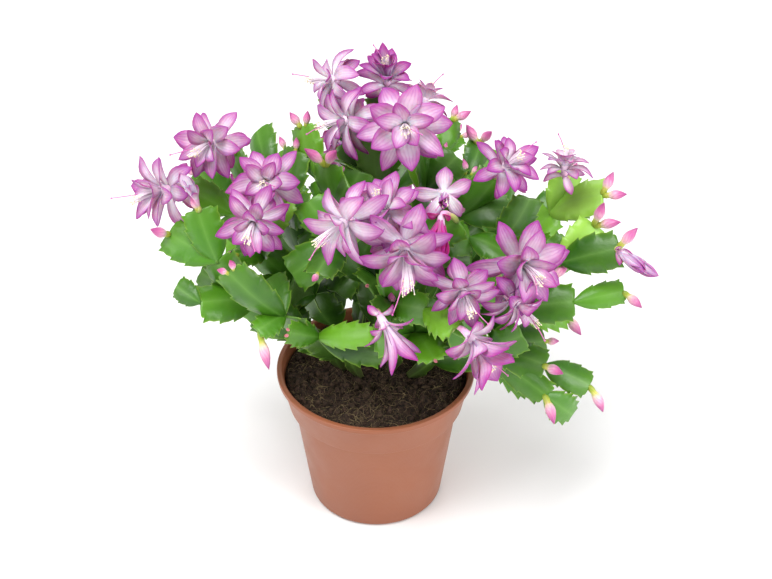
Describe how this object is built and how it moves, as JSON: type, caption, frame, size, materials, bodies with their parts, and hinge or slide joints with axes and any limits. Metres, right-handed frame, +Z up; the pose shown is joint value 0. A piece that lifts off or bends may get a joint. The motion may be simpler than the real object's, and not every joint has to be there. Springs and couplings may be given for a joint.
{
  "type": "potted christmas cactus",
  "caption": "Christmas cactus in bloom with forked stems of flat toothed segments, violet star flowers and pink buds, rooted in dark soil in a round terracotta-coloured plastic pot.",
  "frame": {"origin": "centre of the pot's flat base, on the surface that it stands on", "axes": "+Z up along the pot's axis; -Y is the plant's front; +X is the plant's right as seen from the front"},
  "size_m": [0.3225, 0.2777, 0.3027],
  "materials": {
    "pot_plastic": "satin",
    "soil": "matte",
    "stem_green": "satin",
    "petal_violet": "satin",
    "petal_pale": "satin",
    "bud_pink": "satin"
  },
  "bodies": {
    "root": {"pot": "pot_plastic", "soil": "soil", "stem_left_low": "stem_green", "stem_left_up": "stem_green", "stem_top_left": "stem_green", "stem_top_right": "stem_green", "stem_centre": "stem_green", "stem_front": "stem_green", "stem_front_left": "stem_green", "stem_right_back": "stem_green", "stem_right": "stem_green", "stem_right_low": "stem_green", "stem_back_right": "stem_green", "stem_back": "stem_green", "stem_back_low": "stem_green", "stem_back_left": "stem_green", "flower_far_left": "petal_violet", "flower_left_up": "petal_violet", "flower_left_inner": "petal_violet", "flower_left_front": "petal_violet", "flower_centre_left": "petal_violet", "flower_centre": "petal_violet", "flower_top_large": "petal_violet", "flower_crest": "petal_violet", "flower_top_left": "petal_violet", "flower_top_side": "petal_violet", "flower_top_right": "petal_pale", "flower_right_up": "petal_violet", "flower_right_pale": "petal_pale", "flower_centre_star": "petal_violet", "flower_centre_hanging": "petal_violet", "flower_front_large": "petal_violet", "flower_front_right": "petal_violet", "flower_right_large": "petal_violet", "flower_right_low": "petal_violet", "flower_right_mid": "petal_violet", "flower_front_narrow": "petal_violet", "flower_left_opening": "petal_pale", "flower_right_opening": "petal_violet", "flower_back_left": "petal_violet", "flower_back_top": "petal_violet", "flower_back_right": "petal_violet", "flower_back_low": "petal_violet", "bud_left_tip": "bud_pink", "bud_left_hanging": "bud_pink", "bud_top_left_a": "bud_pink", "bud_top_left_b": "bud_pink", "bud_top_right": "bud_pink", "bud_right_up_a": "bud_pink", "bud_right_up_b": "bud_pink", "bud_right_outer_a": "bud_pink", "bud_right_outer_b": "bud_pink", "bud_right_mid_a": "bud_pink", "bud_right_mid_b": "bud_pink", "bud_right_tip": "bud_pink", "bud_right_low_a": "bud_pink", "bud_right_low_b": "bud_pink", "bud_right_hanging_a": "bud_pink", "bud_right_hanging_b": "bud_pink"}
  },
  "joints": []
}
